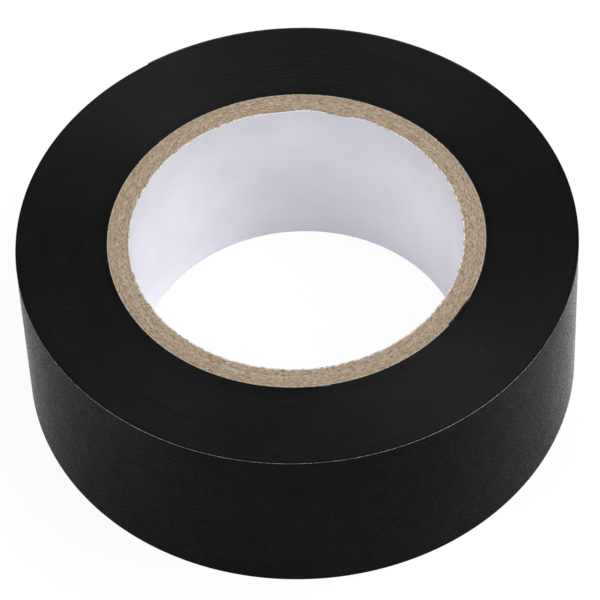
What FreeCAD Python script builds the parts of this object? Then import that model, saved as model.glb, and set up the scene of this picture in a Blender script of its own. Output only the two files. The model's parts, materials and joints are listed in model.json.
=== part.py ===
"""A roll of electrical tape, 19 mm wide and 10 m long, wound on a paper core.

The origin is on the bore's axis at the level of the lower face, and +Z runs along the axis.
The core is a spiral-wound paper tube of five glued strips, each with its own helical butt seam.
The tape is one strip of PVC film with an adhesive coat. It starts on the core, climbs over its own
start in a short ramp, winds outward counterclockwise seen from +Z, and ends in a free tail.
The tail is cut into short curved pieces, hinged in a chain, so that it can be peeled off the roll.
"""

import FreeCAD
import Part
import math
import os

# Tape, in millimetres and degrees
tape_width = 19.0
tape_length = 10000.0
tape_thickness = 0.13
adhesive_thickness = 0.02
free_end_angle = 121.0
start_angle = 278.0
start_ramp_angle = 4.0

# Peelable tail
tail_pieces = 8
tail_piece_angle = 10.0

# Paper core
bore_radius = 16.3
core_radius = 18.5
liner_thickness = 0.15
wrap_thickness = 0.15
body_plies = 3
body_ply_thickness = (core_radius - bore_radius - liner_thickness - wrap_thickness) / body_plies

# Helical butt seams: the axial rise of a strip's edge in one turn, and how far a cutter overshoots
seam_pitch = 80.0
cutter_margin = 1.0

# Each ply from the bore outwards: name, thickness, width of its seam, the seam's angle at the top face
core_plies = [
    ("core_liner", liner_thickness, 0.12, 300.0),
    ("core_ply_inner", body_ply_thickness, 0.9, 64.0),
    ("core_ply_middle", body_ply_thickness, 0.3, 264.0),
    ("core_ply_outer", body_ply_thickness, 0.3, 170.0),
    ("core_wrap", wrap_thickness, 0.9, 331.0),
]

# The free end's radius: the strip's side area fills the ring between the core and the mean outside
roll_radius = math.sqrt(core_radius**2 + tape_length * tape_thickness / math.pi) + tape_thickness / 2

axis_direction = FreeCAD.Vector(0, 0, 1)
# A half turn of the strip is an arc whose centre lies this far from the axis, towards the free end
# on the half that ends there and away from it on the other, so a full turn loses one thickness.
spiral_offset = tape_thickness / 4


def polar(radius, angle, centre=FreeCAD.Vector(0, 0, 0)):
    """The point at this radius and angle from the centre, on the lower face."""
    turn = math.radians(angle)
    return centre + FreeCAD.Vector(radius * math.cos(turn), radius * math.sin(turn), 0)


def arc(radius, angle_a, angle_b, centre=FreeCAD.Vector(0, 0, 0)):
    """An arc from one angle to the other about the centre."""
    middle = (angle_a + angle_b) / 2
    points = [polar(radius, angle, centre) for angle in (angle_a, middle, angle_b)]
    return Part.Arc(*points).toShape()


def line(point_a, point_b):
    return Part.LineSegment(point_a, point_b).toShape()


def full_width(edges):
    """The solid over a closed outline, as tall as the tape is wide."""
    face = Part.Face(Part.Wire(Part.__sortEdges__(edges)))
    return face.extrude(axis_direction * tape_width)


def disc(radius):
    return Part.makeCylinder(radius, tape_width)


def seam_cutter(inner, outer, gap, top_angle):
    """The helical slit between a ply's two edges, which reaches the top face at top_angle."""
    rise = tape_width + 2 * cutter_margin
    middle = (inner + outer) / 2
    lean = math.atan(seam_pitch / (2 * math.pi * middle))
    half_height = gap / math.cos(lean) / 2
    low, high = inner - cutter_margin, outer + cutter_margin
    corners = [
        FreeCAD.Vector(low, 0, -half_height),
        FreeCAD.Vector(high, 0, -half_height),
        FreeCAD.Vector(high, 0, half_height),
        FreeCAD.Vector(low, 0, half_height),
    ]
    section = Part.makePolygon(corners + corners[:1])
    path = Part.Wire(Part.makeHelix(seam_pitch, rise, middle))
    cutter = path.makePipeShell([section], True, True)
    cutter.translate(axis_direction * -cutter_margin)
    start = top_angle - 360 * (tape_width + cutter_margin) / seam_pitch
    cutter.rotate(FreeCAD.Vector(0, 0, 0), axis_direction, start)
    return cutter


def core_ply(inner, thickness, gap, seam_angle):
    """One strip of the core: a tube that doesn't quite close along its helical seam."""
    outer = inner + thickness
    tube = disc(outer).cut(disc(inner))
    return tube.cut(seam_cutter(inner, outer, gap, seam_angle))


def turn_centres():
    """The centres of the half turn that ends at the free end, and of the half turn before it."""
    return polar(spiral_offset, free_end_angle), polar(-spiral_offset, free_end_angle)


def turn_radii(turns_down):
    """The two half turns' radii on the strip's outer face, this many turns below the last one."""
    end = roll_radius - turns_down * tape_thickness
    return end - spiral_offset, end - 3 * spiral_offset


def turn_outline(turns_down):
    """The strip's outer face over one turn, going back from the free end's angle."""
    centre_a, centre_b = turn_centres()
    radius_a, radius_b = turn_radii(turns_down)
    half_way = free_end_angle - 180
    return [
        arc(radius_a, free_end_angle, half_way, centre_a),
        arc(radius_b, half_way, half_way - 180, centre_b),
    ]


def first_turn():
    """The strip's first turn, stuck to the core, up to the ramp over its own start."""
    low, high = core_radius, core_radius + tape_thickness
    ramp = start_angle + 360 - start_ramp_angle
    return full_width([
        arc(low, start_angle, ramp),
        line(polar(low, ramp), polar(high, ramp)),
        arc(high, ramp, start_angle),
        line(polar(high, start_angle), polar(low, start_angle)),
    ])


def winding():
    """All the turns from the ramp over the strip's start to where the last turn begins."""
    low, high = core_radius, core_radius + tape_thickness
    ramp = start_angle + 360 - start_ramp_angle
    outside = turn_outline(1)
    outside.append(line(outside[-1].lastVertex().Point, outside[0].firstVertex().Point))
    inside = [
        arc(high, start_angle, ramp),
        line(polar(high, ramp), polar(low, ramp)),
        line(polar(low, ramp), polar(high, start_angle)),
    ]
    return full_width(outside).cut(full_width(inside))


def tail_start_angle():
    return free_end_angle - tail_pieces * tail_piece_angle


def last_turn():
    """The outermost turn as far as the line where the tail begins to peel."""
    centre_a, centre_b = turn_centres()
    radius_a, radius_b = turn_radii(0)
    peel = tail_start_angle()
    half_way = free_end_angle - 180
    begin = half_way - 180
    inner_a, inner_b = radius_a - tape_thickness, radius_b - tape_thickness
    return full_width([
        arc(radius_a, peel, half_way, centre_a),
        arc(radius_b, half_way, begin, centre_b),
        line(polar(radius_b, begin, centre_b), polar(inner_b, begin, centre_b)),
        arc(inner_b, begin, half_way, centre_b),
        arc(inner_a, half_way, peel, centre_a),
        line(polar(inner_a, peel, centre_a), polar(radius_a, peel, centre_a)),
    ])


def tail_piece(number):
    """One piece of the tail's film, number 1 being at the peel line. The adhesive under it is a gap."""
    centre = turn_centres()[0]
    outer = turn_radii(0)[0]
    inner = outer - tape_thickness + adhesive_thickness
    begin = tail_start_angle() + (number - 1) * tail_piece_angle
    end = begin + tail_piece_angle
    return full_width([
        arc(outer, begin, end, centre),
        line(polar(outer, end, centre), polar(inner, end, centre)),
        arc(inner, end, begin, centre),
        line(polar(inner, begin, centre), polar(outer, begin, centre)),
    ])


def tail_hinge(number):
    """Where this tail piece turns on the one before it: the outer corner of the cut between them."""
    centre = turn_centres()[0]
    return polar(turn_radii(0)[0], tail_start_angle() + (number - 1) * tail_piece_angle, centre)


def main():
    os.makedirs("parts", exist_ok=True)
    solids = {}
    radius = bore_radius
    for name, thickness, gap, seam_angle in core_plies:
        solids[name] = core_ply(radius, thickness, gap, seam_angle)
        radius += thickness
    solids["tape_first_turn"] = first_turn()
    solids["tape_winding"] = winding()
    solids["tape_last_turn"] = last_turn()
    for number in range(1, tail_pieces + 1):
        solids[f"tape_tail_{number}"] = tail_piece(number)
        hinge = tail_hinge(number)
        print(f"tape_tail_{number} hinge at {hinge.x:.4f}, {hinge.y:.4f} mm")
    for name, solid in solids.items():
        solid.exportStep(f"parts/{name}.step")
        print(f"{name}: valid {solid.isValid()}, {len(solid.Solids)} solid, {solid.Volume:.2f} mm3")


main()
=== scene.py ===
import json
import math

import bpy
from mathutils import Matrix, Vector, noise


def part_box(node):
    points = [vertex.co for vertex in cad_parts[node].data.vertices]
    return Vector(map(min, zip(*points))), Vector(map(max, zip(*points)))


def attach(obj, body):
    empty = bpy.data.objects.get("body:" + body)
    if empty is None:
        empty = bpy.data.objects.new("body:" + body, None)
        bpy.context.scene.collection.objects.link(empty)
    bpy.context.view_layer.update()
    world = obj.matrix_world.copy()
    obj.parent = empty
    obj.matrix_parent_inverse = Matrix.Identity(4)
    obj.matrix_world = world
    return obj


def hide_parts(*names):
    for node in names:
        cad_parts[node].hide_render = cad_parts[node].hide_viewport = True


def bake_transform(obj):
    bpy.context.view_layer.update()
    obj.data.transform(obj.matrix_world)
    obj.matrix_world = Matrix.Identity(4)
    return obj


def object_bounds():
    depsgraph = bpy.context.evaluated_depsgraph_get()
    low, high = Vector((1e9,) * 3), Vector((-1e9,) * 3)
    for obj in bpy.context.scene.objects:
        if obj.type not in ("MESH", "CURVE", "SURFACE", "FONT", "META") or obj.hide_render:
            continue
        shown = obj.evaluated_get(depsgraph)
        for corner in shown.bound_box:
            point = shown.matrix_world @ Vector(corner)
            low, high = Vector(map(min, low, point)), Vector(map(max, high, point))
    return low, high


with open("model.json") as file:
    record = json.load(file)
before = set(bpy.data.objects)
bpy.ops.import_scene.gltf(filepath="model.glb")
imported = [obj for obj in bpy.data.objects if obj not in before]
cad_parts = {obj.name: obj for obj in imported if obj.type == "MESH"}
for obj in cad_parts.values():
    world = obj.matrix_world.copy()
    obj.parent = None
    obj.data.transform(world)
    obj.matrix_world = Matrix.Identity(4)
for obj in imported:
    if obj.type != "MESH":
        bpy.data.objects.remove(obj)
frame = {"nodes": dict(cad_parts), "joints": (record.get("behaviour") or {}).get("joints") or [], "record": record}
cadLow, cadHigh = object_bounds()
print("frame loaded,", len(frame["nodes"]), "nodes")

mm = 0.001
width = cadHigh.z  # of the tape and of the core
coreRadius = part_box("core_wrap")[1].x
up = Vector((0, 0, 1))


# ---- working on meshes

def takeUp(piece):  # the one object that the operators act on
    bpy.ops.object.select_all(action="DESELECT")
    piece.select_set(True)
    bpy.context.view_layer.objects.active = piece


def pick(piece, part, test):  # selects only the vertices, edges or polygons that pass
    takeUp(piece)
    modes = {"vertices": 0, "edges": 1, "polygons": 2}
    bpy.context.tool_settings.mesh_select_mode = [modes[part] == i for i in range(3)]
    bpy.ops.object.mode_set(mode="EDIT")
    bpy.ops.mesh.select_all(action="DESELECT")
    bpy.ops.object.mode_set(mode="OBJECT")
    for item in getattr(piece.data, part):
        item.select = test(item)
    bpy.ops.object.mode_set(mode="EDIT")


def leave():
    bpy.ops.object.mode_set(mode="OBJECT")


def slice_(piece, direction, places):  # cuts right through the piece at each place
    for place in places:
        pick(piece, "polygons", lambda p: True)
        bpy.ops.mesh.select_all(action="SELECT")
        bpy.ops.mesh.bisect(plane_co=direction * place, plane_no=direction)
        leave()


def change(piece, kind, **settings):  # a modifier, set up and applied
    takeUp(piece)
    step = piece.modifiers.new(kind.lower(), kind)
    for name, value in settings.items():
        setattr(step, name, value)
    bpy.ops.object.modifier_apply(modifier=step.name)


def turnTo(piece, shift, degrees):  # moves, turns about Z, and leaves the place in the mesh
    takeUp(piece)
    piece.matrix_world = Matrix.Rotation(math.radians(degrees), 4, "Z") @ Matrix.Translation(shift)
    bpy.ops.object.transform_apply(location=True, rotation=True, scale=True)


def closeUp(piece, smoothAngle):  # welds, turns the faces outwards and smooths
    pick(piece, "vertices", lambda v: True)
    bpy.ops.mesh.select_all(action="SELECT")
    bpy.ops.mesh.remove_doubles(threshold=0.0002 * mm)
    bpy.ops.mesh.normals_make_consistent(inside=False)
    leave()
    bpy.ops.object.shade_smooth_by_angle(angle=math.radians(smoothAngle))


def lineDrawn(name, points, closed):  # a curve of straight runs
    curve = bpy.data.curves.new(name, "CURVE")
    curve.dimensions = "3D"
    spline = curve.splines.new("POLY")
    spline.points.add(len(points) - 1)
    for point, place in zip(spline.points, points):
        point.co = (*place, 1)
    spline.use_cyclic_u = closed
    made = bpy.data.objects.new(name, curve)
    bpy.context.scene.collection.objects.link(made)
    return made


# ---- materials

class Wire:  # a shader value that plain arithmetic works on
    def __init__(self, look, socket):
        self.look = look
        self.socket = socket

    def maths(self, operation, *values):
        return self.look.node("ShaderNodeMath", {"operation": operation}, dict(enumerate(values)))

    def __add__(self, other):
        return self.maths("ADD", self, other)

    def __radd__(self, other):
        return self.maths("ADD", other, self)

    def __sub__(self, other):
        return self.maths("SUBTRACT", self, other)

    def __rsub__(self, other):
        return self.maths("SUBTRACT", other, self)

    def __mul__(self, other):
        return self.maths("MULTIPLY", self, other)

    def __rmul__(self, other):
        return self.maths("MULTIPLY", other, self)

    def __truediv__(self, other):
        return self.maths("DIVIDE", self, other)

    def __pow__(self, other):
        return self.maths("POWER", self, other)


class Look:  # one material and the nodes in it
    def __init__(self, name):
        self.material = bpy.data.materials.new(name)
        self.material.use_nodes = True
        self.tree = self.material.node_tree
        self.shader = self.tree.nodes["Principled BSDF"]
        self.place = self.node("ShaderNodeTexCoord", output="Object")

    def feed(self, socket, value):
        if isinstance(value, Wire):
            self.tree.links.new(value.socket, socket)
        else:
            socket.default_value = value

    def node(self, kind, settings=None, inputs=None, output=0):
        made = self.tree.nodes.new(kind)
        for name, value in (settings or {}).items():
            setattr(made, name, value)
        for key, value in (inputs or {}).items():
            self.feed(made.inputs[key], value)
        return Wire(self, made.outputs[output])

    def cloud(self, size, detail=2, rough=0.5, where=None):  # noise with patches of this size
        return self.node("ShaderNodeTexNoise", None, {
            "Vector": where or self.place, "Scale": 1 / size, "Detail": detail, "Roughness": rough})

    def step(self, value, low, high):  # 0 below low, 1 above high
        return self.node("ShaderNodeMapRange", {"interpolation_type": "SMOOTHSTEP"}, {
            "Value": value, "From Min": low, "From Max": high})

    def blend(self, share, first, second):  # of two colours
        return self.node("ShaderNodeMix", {"data_type": "RGBA"}, {
            0: share, 6: first, 7: second}, output=2)

    def axes(self):  # x, y, z and the distance from the roll's axis
        apart = self.node("ShaderNodeSeparateXYZ", None, {0: self.place})
        x, y, z = (Wire(self, socket) for socket in apart.socket.node.outputs)
        return x, y, z, (x * x + y * y) ** 0.5

    def bump(self, height, depth):  # a relief this deep where height goes from 0 to 1
        return self.node("ShaderNodeBump", None, {"Height": height, "Distance": depth})

    def paint(self, sockets):
        for name, value in sockets.items():
            self.feed(self.shader.inputs[name], value)
        return self.material


def rgb(red, green, blue):
    return (red, green, blue, 1)


sideLook = {
    "dark": rgb(0.0014, 0.0014, 0.0015),
    "light": rgb(0.0066, 0.0065, 0.0066),
    "dust": rgb(0.13, 0.125, 0.12),
    "specular": 0.10,
    "groove": 0.8,  # how strongly the fine rings stretch the sheen
    "bandSize": 0.45 * mm,  # across the turns
    "patchSize": 4.5 * mm,
    "paintedShadeTo": 20 * mm,  # painted shade: the turns nearest the core are darkened in colour out to this radius
}


def slitSide():  # the tape's cut edges, pressed into one face
    look = Look("slitSide")
    x, y, z, radius = look.axes()
    around = look.node("ShaderNodeCombineXYZ", None, {
        0: x / radius * 2.2, 1: y / radius * 2.2, 2: radius / sideLook["bandSize"]})
    bands = look.cloud(1, 4, 0.6, around)
    patches = look.cloud(sideLook["patchSize"], 3, 0.55)
    grain = look.cloud(0.12 * mm, 2)
    shade = look.step(bands * 0.5 + patches * 0.45 + grain * 0.25, 0.35, 0.9)
    tone = look.blend(shade, sideLook["dark"], sideLook["light"])
    # painted shade: the side's colour darkens towards black close to the core
    tone = look.blend(look.step(radius, sideLook["paintedShadeTo"], coreRadius) * 0.6, tone, rgb(0, 0, 0))
    specks = look.step(look.cloud(0.2 * mm, 0), 0.86, 0.875) * look.step(patches, 0.5, 0.6)
    return look.paint({
        "Base Color": look.blend(specks, tone, sideLook["dust"]),
        "Roughness": 0.46 + 0.2 * bands,
        "Specular IOR Level": sideLook["specular"],
        "Anisotropic": sideLook["groove"],
        "Anisotropic Rotation": 0.25,
        "Normal": look.bump(grain * 0.6 + bands * 0.4, 0.006 * mm),
    })


filmLook = {
    "dark": rgb(0.0018, 0.0018, 0.0019),
    "light": rgb(0.0070, 0.0070, 0.0071),
    "glazeIor": 1.085,
    "pebbleSize": 0.15 * mm,
}


def blackFilm():  # the tape's outer face, with the fine pebble of the rolls that pressed it
    look = Look("blackFilm")
    pebble = look.cloud(filmLook["pebbleSize"], 1, 0.5)
    wander = look.cloud(2.4 * mm, 2)
    glaze = look.step(pebble, 0.36, 0.64) * 0.9 + 0.22
    return look.paint({
        "Base Color": look.blend(wander * 0.4 + pebble * 0.6, filmLook["dark"], filmLook["light"]),
        "Roughness": 0.35 + 0.2 * pebble,
        "Specular IOR Level": 0.01,
        "Coat Weight": glaze * (0.75 + 0.5 * wander),
        "Coat IOR": filmLook["glazeIor"],
        "Coat Roughness": 0.14,
        "Normal": look.bump(pebble + wander * 0.8, 0.03 * mm),
    })


def slitBurr():  # the film's rim, drawn out thin and shiny by the slitting blade, with a painted highlight in its pale grey colour
    look = Look("slitBurr")
    nicksAndPaintedHighlight = look.cloud(0.3 * mm, 3, 0.7)
    return look.paint({
        # painted highlight: the rim's colour goes to pale grey, broken up by the nicks
        "Base Color": look.blend(
            look.step(nicksAndPaintedHighlight, 0.35, 0.65), rgb(0.03, 0.03, 0.03), rgb(0.34, 0.34, 0.34)),
        "Roughness": 0.3 + 0.25 * nicksAndPaintedHighlight,
        "Specular IOR Level": 1.0,
        "Normal": look.bump(nicksAndPaintedHighlight, 0.01 * mm),
    })


glueLook = {
    "dark": rgb(0.006, 0.0055, 0.005),
    "light": rgb(0.020, 0.018, 0.016),
}


def adhesive():  # the tape's sticky face
    look = Look("adhesive")
    x, y, z, radius = look.axes()
    drawn = look.node("ShaderNodeCombineXYZ", None, {0: x / 9, 1: y / 9, 2: z})
    strings = look.cloud(0.35 * mm, 4, 0.6, drawn)
    return look.paint({
        "Base Color": look.blend(look.step(strings, 0.35, 0.7), glueLook["dark"], glueLook["light"]),
        "Roughness": 0.22 + 0.25 * strings,
        "Normal": look.bump(strings, 0.02 * mm),
    })


cardLook = {
    "inner": (rgb(0.440, 0.322, 0.205), rgb(0.420, 0.325, 0.240)),
    "middle": (rgb(0.455, 0.340, 0.232), rgb(0.435, 0.342, 0.262)),
    "outer": (rgb(0.425, 0.306, 0.190), rgb(0.410, 0.315, 0.228)),
    "drawnOut": {"inner": 3.6, "middle": 4, "outer": 5.5},  # how long the fibres lie round the ring
    "shadow": rgb(0.075, 0.048, 0.028),
    "fleck": rgb(0.78, 0.68, 0.56),
    "fibre": 0.13 * mm,
    "leaning": 2.2,  # radians that the saw's fine streaks turn in one turnReach of radius
    "turnReach": 16 * mm,
    "meanRadius": 17.5 * mm,  # where lengths round the ring come out true
}


def alongRing(look, spin, stretch):  # object places, turned more and more outwards
    x, y, z, radius = look.axes()
    turned = look.node("ShaderNodeVectorRotate", {"rotation_type": "Z_AXIS"}, {
        "Vector": look.place, "Angle": radius * (spin / cardLook["turnReach"])})
    apart = look.node("ShaderNodeSeparateXYZ", None, {0: turned})
    ringX, ringY = (Wire(look, apart.socket.node.outputs[i]) for i in range(2))
    return look.node("ShaderNodeCombineXYZ", None, {
        0: ringX / radius * cardLook["meanRadius"], 1: ringY / radius * cardLook["meanRadius"],
        2: radius * stretch + z})


def cardColour(look, ply):
    mottle = look.cloud(0.55 * mm, 3, 0.7, alongRing(look, 0, 2.5))
    streaks = look.cloud(0.20 * mm, 3, 0.7, alongRing(look, cardLook["leaning"], 0.5))
    fibres = look.cloud(0.42 * mm, 3, 0.7, alongRing(look, 0.4, cardLook["drawnOut"][ply]))
    grain = look.cloud(cardLook["fibre"], 2, 0.8)
    warm, cool = cardLook[ply]
    tone = look.blend(look.step(mottle, 0.40, 0.60), warm, cool)
    dark = look.step(streaks * 0.3 + fibres * 0.65 + grain * 0.15, 0.555, 0.45)
    tone = look.blend(dark * 0.62, tone, cardLook["shadow"])
    pale = look.step(grain * 0.3 + fibres * 0.7, 0.52, 0.62)
    return look.blend(pale * 0.52, tone, cardLook["fleck"]), streaks * 0.4 + grain * 0.6


def chipboard(ply):  # recycled fibres, with paler and darker ones among them
    look = Look(ply + "Card")
    colour, relief = cardColour(look, ply)
    return look.paint({
        "Base Color": colour,
        "Roughness": 0.92,
        "Specular IOR Level": 0.2,
        "Normal": look.bump(relief, 0.12 * mm),
    })


paperLook = {
    "liner": (rgb(0.815, 0.807, 0.86), rgb(0.875, 0.867, 0.92)),
    "linerBlush": rgb(0.86, 0.80, 0.81),
    "linerEdge": rgb(0.60, 0.50, 0.42),
    "wrap": (rgb(0.30, 0.24, 0.17), rgb(0.60, 0.52, 0.43)),
}


def linerPaper():  # smooth bleached paper, cloudy where glue has soaked in, stained where it is cut
    look = Look("linerPaper")
    clouds = look.cloud(3.5 * mm, 3, 0.5)
    fine = look.cloud(0.22 * mm, 3, 0.7)
    low, high = paperLook["liner"]
    tone = look.blend(look.step(clouds * 0.6 + fine * 0.4, 0.25, 0.75), low, high)
    blush = look.step(look.cloud(4 * mm, 2), 0.58, 0.75) * 0.3
    tone = look.blend(blush, tone, paperLook["linerBlush"])
    x, y, z, radius = look.axes()
    fromCut = look.node("ShaderNodeMath", {"operation": "MINIMUM"}, {0: z, 1: width - z})
    ragged = look.cloud(0.5 * mm, 2, 0.7)
    torn = look.step(fromCut + (ragged - 0.5) * (0.28 * mm), 0.06 * mm, 0)
    card, relief = cardColour(look, "inner")
    tone = look.blend(look.step(fromCut, 0.06 * mm, 0.01 * mm) * 0.75, tone, paperLook["linerEdge"])
    return look.paint({
        "Base Color": look.blend(torn * look.step(ragged, 0.5, 0.42), tone, card),
        "Roughness": 0.7 + 0.15 * fine,
        "Specular IOR Level": 0.3,
        "Normal": look.bump(clouds * 0.5 + fine * 0.5, 0.015 * mm),
    })


def wrapPaper():
    look = Look("wrapPaper")
    fibres = look.cloud(0.2 * mm, 3, 0.8)
    low, high = paperLook["wrap"]
    return look.paint({
        "Base Color": look.blend(look.step(fibres, 0.35, 0.65), low, high),
        "Roughness": 0.9,
        "Specular IOR Level": 0.2,
        "Normal": look.bump(fibres, 0.03 * mm),
    })


tapePaints = [blackFilm(), slitSide(), adhesive(), slitBurr()]
print("materials made")


# ---- the tape, one strip wound outwards from the core

tape = {
    "startAngle": 278,  # where the strip starts on the core, in degrees
    "startRamp": 4,  # how far it takes to climb over its own start
    "freeEndAngle": 121,
    "layers": 70,  # on top of each other at the free end
    "drift": 0.018 * mm,  # how far a turn strays sideways
    "dent": {"from": 320, "deepest": 330.5, "depth": 0.14 * mm, "turns": 3},  # where the wrap ends
    "slack": 0.016,  # share of a layer left between turns
}
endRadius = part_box("tape_tail_8")[0].x / math.cos(math.radians(tape["freeEndAngle"]))
layer = (endRadius - coreRadius) / tape["layers"]
partTurn = (tape["freeEndAngle"] - tape["startAngle"]) % 360 / 360
freeEnd = tape["layers"] - 1 + partTurn  # turns from the strip's start


def ease(share):
    share = min(max(share, 0), 1)
    return share * share * (3 - 2 * share)


def stripRadius(turn):  # of the strip's inner face; even on the core, a plain spiral further out
    whole = min(math.floor(turn), tape["layers"] - 1)
    part = turn - whole
    settled = turn / freeEnd
    ramp = tape["startRamp"] / 360
    ramp += (1 - ramp) * settled
    climb = ease((part - 1 + ramp) / ramp)
    radius = coreRadius + layer * (whole + (1 - settled) * climb + settled * (part - partTurn))
    dent = tape["dent"]
    angle = (tape["startAngle"] + 360 * turn) % 360
    if turn < dent["turns"] and dent["from"] < angle < dent["deepest"]:
        along = (angle - dent["from"]) / (dent["deepest"] - dent["from"])
        radius -= dent["depth"] * ease(along * 1.4) * (1 - turn / dent["turns"])
    return radius


def stripDrift(turn):
    angle = math.tau * turn
    slow = noise.noise(Vector((turn * 0.9, 7.3, 1.1)))
    around = noise.noise(Vector((math.cos(angle) * 1.3, math.sin(angle) * 1.3, turn * 0.55)))
    return tape["drift"] * max(-1, min(1, 0.9 * slow + 0.7 * around))


def stripOutline(name, thickness, corner, cornerSteps, support):  # the strip's section
    across = thickness / 2 - corner
    along = width / 2 - tape["drift"] - corner
    points = []
    for quarter, (sideX, sideY) in enumerate(((1, 1), (-1, 1), (-1, -1), (1, -1))):
        centre = Vector((sideX * across, sideY * along, 0))
        round_ = []
        for i in range(cornerSteps + 1):
            angle = math.radians(90 * quarter + 90 * i / cornerSteps)
            round_.append(centre + corner * Vector((math.cos(angle), math.sin(angle), 0)))
        if support:  # keeps the rounding's shading off the flat
            flat = Vector((sideX * thickness / 2, sideY * (along - support), 0))
            round_.insert(0 if quarter % 2 == 0 else len(round_), flat)
        points += round_
    outline = lineDrawn(name, points, True)
    outline.data.dimensions = "2D"
    return outline


def layStrip(name, outline, thickness, firstTurn, lastTurn, stepsPerTurn):
    steps = max(2, round((lastTurn - firstTurn) * stepsPerTurn))
    path = []
    for i in range(steps + 1):
        turn = firstTurn + (lastTurn - firstTurn) * i / steps
        radius = stripRadius(turn) + layer * (1 - tape["slack"]) - thickness / 2
        angle = math.radians(tape["startAngle"]) + math.tau * turn
        path.append((
            radius * math.cos(angle), radius * math.sin(angle), width / 2 + stripDrift(turn)))
    strip = lineDrawn(name, path, False)
    strip.data.twist_mode = "Z_UP"
    strip.data.bevel_mode = "OBJECT"
    strip.data.bevel_object = outline
    strip.data.use_fill_caps = True
    takeUp(strip)
    bpy.ops.object.convert(target="MESH")
    strip = bpy.context.object
    closeUp(strip, 50)
    return strip


def paintTape(strip, glueOnInside, bare):  # bare is where the rim can be seen, in degrees
    for material in tapePaints:
        strip.data.materials.append(material)
    for polygon in strip.data.polygons:
        outwards = polygon.normal.dot(Vector((*polygon.center.xy, 0)).normalized())
        angle = math.degrees(math.atan2(polygon.center.y, polygon.center.x))
        if abs(polygon.normal.z) > 0.95:
            polygon.material_index = 1
        elif outwards < -0.5 and glueOnInside:
            polygon.material_index = 2
        elif abs(polygon.normal.z) > 0.2:
            # where the rim can be seen it gets the painted highlight
            polygon.material_index = 3 if outwards > 0 and bare[0] < angle < bare[1] else 1


wound = {"corner": 0.007 * mm, "stepsPerTurn": 144}
thickness = layer * (1 - tape["slack"])
woundOutline = stripOutline("woundOutline", thickness, wound["corner"], 1, 0)
woundTurns = layStrip(
    "woundTurns", woundOutline, thickness, 0, freeEnd - 2, wound["stepsPerTurn"])
paintTape(woundTurns, False, (0, 0))
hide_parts("tape_first_turn", "tape_winding")
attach(woundTurns, "roll")
print("wound turns made")

outer = {"corner": 0.055 * mm, "support": 0.25 * mm, "stepsPerTurn": 360}
outerOutline = stripOutline("outerOutline", thickness, outer["corner"], 4, outer["support"])
hinges = [Vector(joint["pos_m"]) for joint in frame["joints"]]


def turnsAt(angle):  # on the outermost turn, counted from the strip's start
    return freeEnd - (tape["freeEndAngle"] - angle) / 360


hingeAngles = [math.degrees(math.atan2(h.y, h.x)) for h in hinges]
pieceAngle = hingeAngles[1] - hingeAngles[0]
peelTurn = turnsAt(hingeAngles[0])
allRound = (-180, 180)
for name, first, last, stoodFor, bare in (
        ("turnUnderLast", freeEnd - 2, freeEnd - 1, (), (hingeAngles[0], tape["freeEndAngle"])),
        ("lastTurn", freeEnd - 1, peelTurn, ("tape_last_turn",), allRound)):
    strip = layStrip(name, outerOutline, thickness, first, last, outer["stepsPerTurn"])
    paintTape(strip, False, bare)
    if stoodFor:
        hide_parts(*stoodFor)
    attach(strip, "roll")
print("outer turns made")

# The free end peels off, so it is cut midway between hinges into one part round each hinge.
# For each part a span and a start along its hinge are worked out, from the middle of a longer
# blend where the turning is even, but no bend is made from them.
tail = {
    "stepsPerPiece": 24,
    "evenShare": (math.sqrt(3) - 1) / 2,  # the part of a blend that turns evenly
    "peelStart": 0.707,  # where in its blend the first part starts, at the fold
    "peelShare": 0.103,
}
for number, hinge in enumerate(hinges, 1):
    angle = hingeAngles[number - 1]
    first = angle - pieceAngle / 2 if number > 1 else angle
    last = angle + pieceAngle / 2 if number < len(hinges) else tape["freeEndAngle"]
    part = layStrip(
        f"peelingEnd{number}", outerOutline, thickness, turnsAt(first), turnsAt(last),
        tail["stepsPerPiece"] * 360 / pieceAngle)
    paintTape(part, True, allRound)
    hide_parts(f"tape_tail_{number}")
    run = Vector((-math.sin(math.radians(angle)), math.cos(math.radians(angle)), 0))
    half = hinge.xy.length * math.radians(pieceAngle) / 2
    if number == 1:
        span = half / tail["peelShare"]
        start = hinge - run * span * tail["peelStart"]
    else:
        span = 2 * half / tail["evenShare"]
        start = hinge - run * span / 2
    start + run * span
    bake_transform(part)
print("peeling end made")
for outline in (woundOutline, outerOutline):
    bpy.data.objects.remove(outline)


# ---- the core, paper strips wound in a helix and glued on each other

core = {
    "seamPitch": 80 * mm,  # how far a seam climbs in one turn
    "columnCuts": (23, 19),  # twice over, 480 columns round the core
    "rows": 24,
    "rimRow": 0.35 * mm,
    "edgeRound": 0.03 * mm,
    "fuzzReach": 0.3 * mm,  # how near the cut the roughening starts
    "wearDepth": 0.2 * mm,  # how far below the top face, and how far in from the rim, wear reaches
    "wearReach": 0.16 * mm,
}
plies = {  # seam gap, the seam's angle at the top face in degrees, slices, how ragged the cut is
    "core_liner": {
        "name": "coreLiner", "gap": 0.12 * mm, "seam": 300, "across": 2, "fuzz": 0.07 * mm,
        "slot": "liner_paper"},
    "core_ply_inner": {
        "name": "innerPly", "gap": 0.2 * mm, "seam": 64, "across": 5, "fuzz": 0.07 * mm,
        "slot": "chipboard"},
    "core_ply_middle": {
        "name": "middlePly", "gap": 0.14 * mm, "seam": 264, "across": 5, "fuzz": 0.09 * mm,
        "slot": "chipboard"},
    "core_ply_outer": {
        "name": "outerPly", "gap": 0.1 * mm, "seam": 170, "across": 5, "fuzz": 0.09 * mm,
        "slot": "chipboard"},
    "core_wrap": {
        "name": "coreWrap", "gap": 3.5 * mm, "seam": 325.6, "lean": 0, "across": 2,
        "fuzz": 0.06 * mm, "slot": "wrap_paper"},
}
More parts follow.
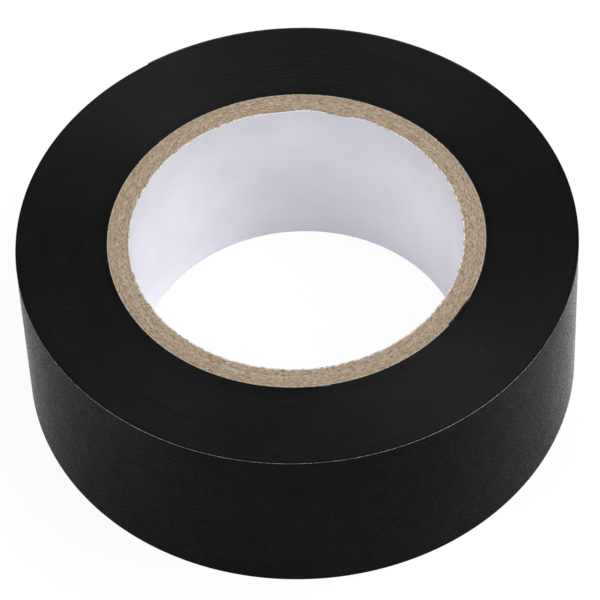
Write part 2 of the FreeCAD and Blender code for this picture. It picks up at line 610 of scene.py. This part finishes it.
wear = (  # piece, rim, angle, half width in degrees, then how far inwards and downwards
    ("innerPly", "inner", 72.5, 4.5, 0.30 * mm, 0.05 * mm),
    ("innerPly", "inner", 95, 7, 0.07 * mm, 0.06 * mm),
    ("innerPly", "inner", 84, 6, 0.08 * mm, 0.04 * mm),
    ("innerPly", "inner", 62, 3, -0.12 * mm, 0.10 * mm),
    ("coreLiner", "inner", 74, 8, 0, 0.26 * mm),
    ("coreLiner", "inner", 94, 9, 0, 0.22 * mm),
    ("coreLiner", "inner", 64, 4, -0.14 * mm, 0.04 * mm),
    ("coreLiner", "inner", 152, 2, 0.10 * mm, 0.02 * mm),
    ("outerPly", "outer", 328.6, 2.4, 0.05 * mm, 0.04 * mm),
)
plyPaints = {
    "core_liner": linerPaper(),
    "core_ply_inner": chipboard("inner"),
    "core_ply_middle": chipboard("middle"),
    "core_ply_outer": chipboard("outer"),
    "core_wrap": wrapPaper(),
}


def rollPly(inner, outerR, look):  # a flat strip, rolled up and, but for the wrap, leant over
    gapAngle = look["gap"] / (outerR + inner) * 2
    turned = math.tau - gapAngle
    length = turned * outerR
    thick = outerR - inner
    bpy.ops.mesh.primitive_cube_add(size=1)
    ply = bpy.context.object
    ply.name = look["name"]
    takeUp(ply)
    bpy.ops.object.mode_set(mode="EDIT")
    bpy.ops.mesh.select_all(action="SELECT")
    bpy.ops.transform.resize(value=(length, thick, width))
    bpy.ops.transform.translate(value=(length / 2, thick / 2, width / 2))
    leave()

    def lengthwise(edge):
        a, b = (ply.data.vertices[i].co for i in edge.vertices)
        return abs(a.x - b.x) > 10 * (abs(a.y - b.y) + abs(a.z - b.z))

    pick(ply, "edges", lengthwise)
    bpy.ops.mesh.bevel(offset=core["edgeRound"], segments=2)
    leave()
    rows = [width * (i + 1) / core["rows"] for i in range(core["rows"] - 1)]
    slice_(ply, up, rows + [core["rimRow"], width - core["rimRow"]])
    layersIn = [thick * (i + 1) / look["across"] for i in range(look["across"] - 1)]
    slice_(ply, Vector((0, 1, 0)), layersIn)
    for cuts in core["columnCuts"]:
        pick(ply, "edges", lengthwise)
        bpy.ops.mesh.subdivide(number_cuts=cuts)
        leave()
    change(ply, "SIMPLE_DEFORM", deform_method="BEND", deform_axis="Z", angle=turned)
    turnTo(ply, Vector((0, -outerR, 0)), 0)
    lean = look.get("lean", math.tau * width / core["seamPitch"])
    change(ply, "SIMPLE_DEFORM", deform_method="TWIST", deform_axis="Z", angle=lean)
    seamNow = -90 - math.degrees(gapAngle) / 2 + math.degrees(lean)
    turnTo(ply, Vector(), look["seam"] - seamNow)
    return ply


def fuzzCut(ply, high, texture, amount):  # roughens the cut face without growing it
    group = ply.vertex_groups.new(name="cut")
    near = [v.index for v in ply.data.vertices if (v.co.z > width / 2) == high
            and abs(v.co.z - (width if high else 0)) < core["fuzzReach"]]
    group.add(near, 1, "REPLACE")
    change(ply, "DISPLACE", texture=texture, direction="Z", vertex_group="cut",
           mid_level=1 if high else 0, strength=amount, texture_coords="LOCAL")
    ply.vertex_groups.remove(ply.vertex_groups["cut"])


def wearRim(ply, rim, angle, halfWidth, inwards, downwards):  # in three steps, most in the middle
    outwards = Vector((math.cos(math.radians(angle)), math.sin(math.radians(angle)), 0))
    reach = [v.co.xy.length for v in ply.data.vertices]
    low, high = 0, min(reach) + core["wearReach"]
    if rim == "outer":
        low, high = max(reach) - core["wearReach"], 1
    for share in (1, 0.66, 0.33):
        facing = math.cos(math.radians(halfWidth * share))
        pick(ply, "vertices", lambda v: v.co.z > width - core["wearDepth"]
             and low < v.co.xy.length < high
             and v.co.xy.normalized().dot(outwards.xy) > facing)
        bpy.ops.transform.translate(value=-outwards * inwards / 3 - up * downwards / 3)
        leave()


fibreFuzz = bpy.data.textures.new("fibreFuzz", "CLOUDS")
fibreFuzz.contrast = 2
fibreFuzz.noise_scale = 0.25 * mm
fibreFuzz.noise_depth = 2
bore = next(mount for mount in frame["record"]["mounts"] if mount["name"] == "core_bore")
innerRadius = bore["dims"]["r_mm"] * mm
for node, look in plies.items():
    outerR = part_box(node)[1].x
    ply = rollPly(innerRadius, outerR, look)
    innerRadius = outerR
    for pieceName, *worn in wear:
        if pieceName == ply.name:
            wearRim(ply, *worn)
    for high in (True, False):
        fuzzCut(ply, high, fibreFuzz, look["fuzz"])
    closeUp(ply, 55)
    ply.data.materials.append(plyPaints[node])
    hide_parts(node)
    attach(ply, "roll")
print("core made")


# ---- the studio

studio = {
    "floorSize": 3,
    "floor": rgb(0.78, 0.78, 0.78),
    "floorGlow": 0.2,
    "floorShown": 0.9,  # share of plain white the camera sees, so that only a faint shadow shows
    "floorWhite": 1.02,
    "worldGlow": 0.03,
}
lights = {  # azimuth and elevation in degrees, distance and size in metres, power in watts
    "keyRight": {"azimuth": -35, "elevation": 30, "distance": 0.9, "size": 0.5, "power": 2.3},
    "highRight": {"azimuth": 0, "elevation": 60, "distance": 0.9, "size": 0.5, "power": 4.6},
    "fillLeft": {"azimuth": 208, "elevation": 30, "distance": 0.9, "size": 0.5, "power": 3.2},
    "backSoft": {"azimuth": 90, "elevation": 30, "distance": 0.9, "size": 0.5, "power": 3.8},
}
view = {
    "elevation": 52.18,
    "distance": 0.4072,
    "aimUp": 0.793,
    "aimSide": -0.0099,
    "roll": 2.643,
    "lens": 241.4,
}


def makeFloor():
    bpy.ops.object.select_all(action="DESELECT")
    bpy.ops.mesh.primitive_plane_add(size=studio["floorSize"])
    floor = bpy.context.object
    floor.name = "floor"
    look = Look("paleFloor")
    look.paint({
        "Base Color": studio["floor"], "Roughness": 0.9, "Specular IOR Level": 0.0,
        "Emission Color": rgb(1, 1, 1), "Emission Strength": studio["floorGlow"]})
    white = look.node("ShaderNodeEmission", None, {"Strength": studio["floorWhite"]})
    shown = look.node("ShaderNodeLightPath")
    mixed = look.node("ShaderNodeMixShader", None, {
        0: shown * studio["floorShown"], 1: Wire(look, look.shader.outputs[0]), 2: white})
    look.tree.links.new(mixed.socket, look.tree.nodes["Material Output"].inputs[0])
    floor.data.materials.append(look.material)


def makeLight(name, set_):
    azimuth, elevation = math.radians(set_["azimuth"]), math.radians(set_["elevation"])
    away = Vector((
        math.cos(azimuth) * math.cos(elevation),
        math.sin(azimuth) * math.cos(elevation),
        math.sin(elevation)))
    lamp = bpy.data.lights.new(name, "AREA")
    lamp.size = set_["size"]
    lamp.energy = set_["power"]
    hung = bpy.data.objects.new(name, lamp)
    hung.location = away * set_["distance"]
    hung.rotation_euler = away.to_track_quat("Z", "Y").to_euler()
    hung.visible_camera = False
    bpy.context.scene.collection.objects.link(hung)


def makeWorld():
    world = bpy.data.worlds.new("studio")
    world.use_nodes = True
    glow = world.node_tree.nodes["Background"]
    glow.inputs["Color"].default_value = rgb(1, 1, 1)
    glow.inputs["Strength"].default_value = studio["worldGlow"]
    bpy.context.scene.world = world


def makeCamera():
    eye = bpy.data.cameras.new("camera")
    eye.lens = view["lens"]
    eye.clip_start, eye.clip_end = 0.01, 20
    held = bpy.data.objects.new("camera", eye)
    bpy.context.scene.collection.objects.link(held)
    elevation = math.radians(view["elevation"])
    back = Vector((0, -math.cos(elevation), math.sin(elevation)))
    turned = (
        Matrix.Rotation(math.pi / 2 - elevation, 4, "X")
        @ Matrix.Rotation(math.radians(view["aimSide"]), 4, "Y")
        @ Matrix.Rotation(math.radians(view["aimUp"]), 4, "X")
        @ Matrix.Rotation(-math.radians(view["roll"]), 4, "Z"))
    held.matrix_world = Matrix.Translation(back * view["distance"]) @ turned
    bpy.context.scene.camera = held


makeFloor()
for name, set_ in lights.items():
    makeLight(name, set_)
makeWorld()
makeCamera()
bpy.context.scene.view_settings.view_transform = "Standard"
print("studio made")
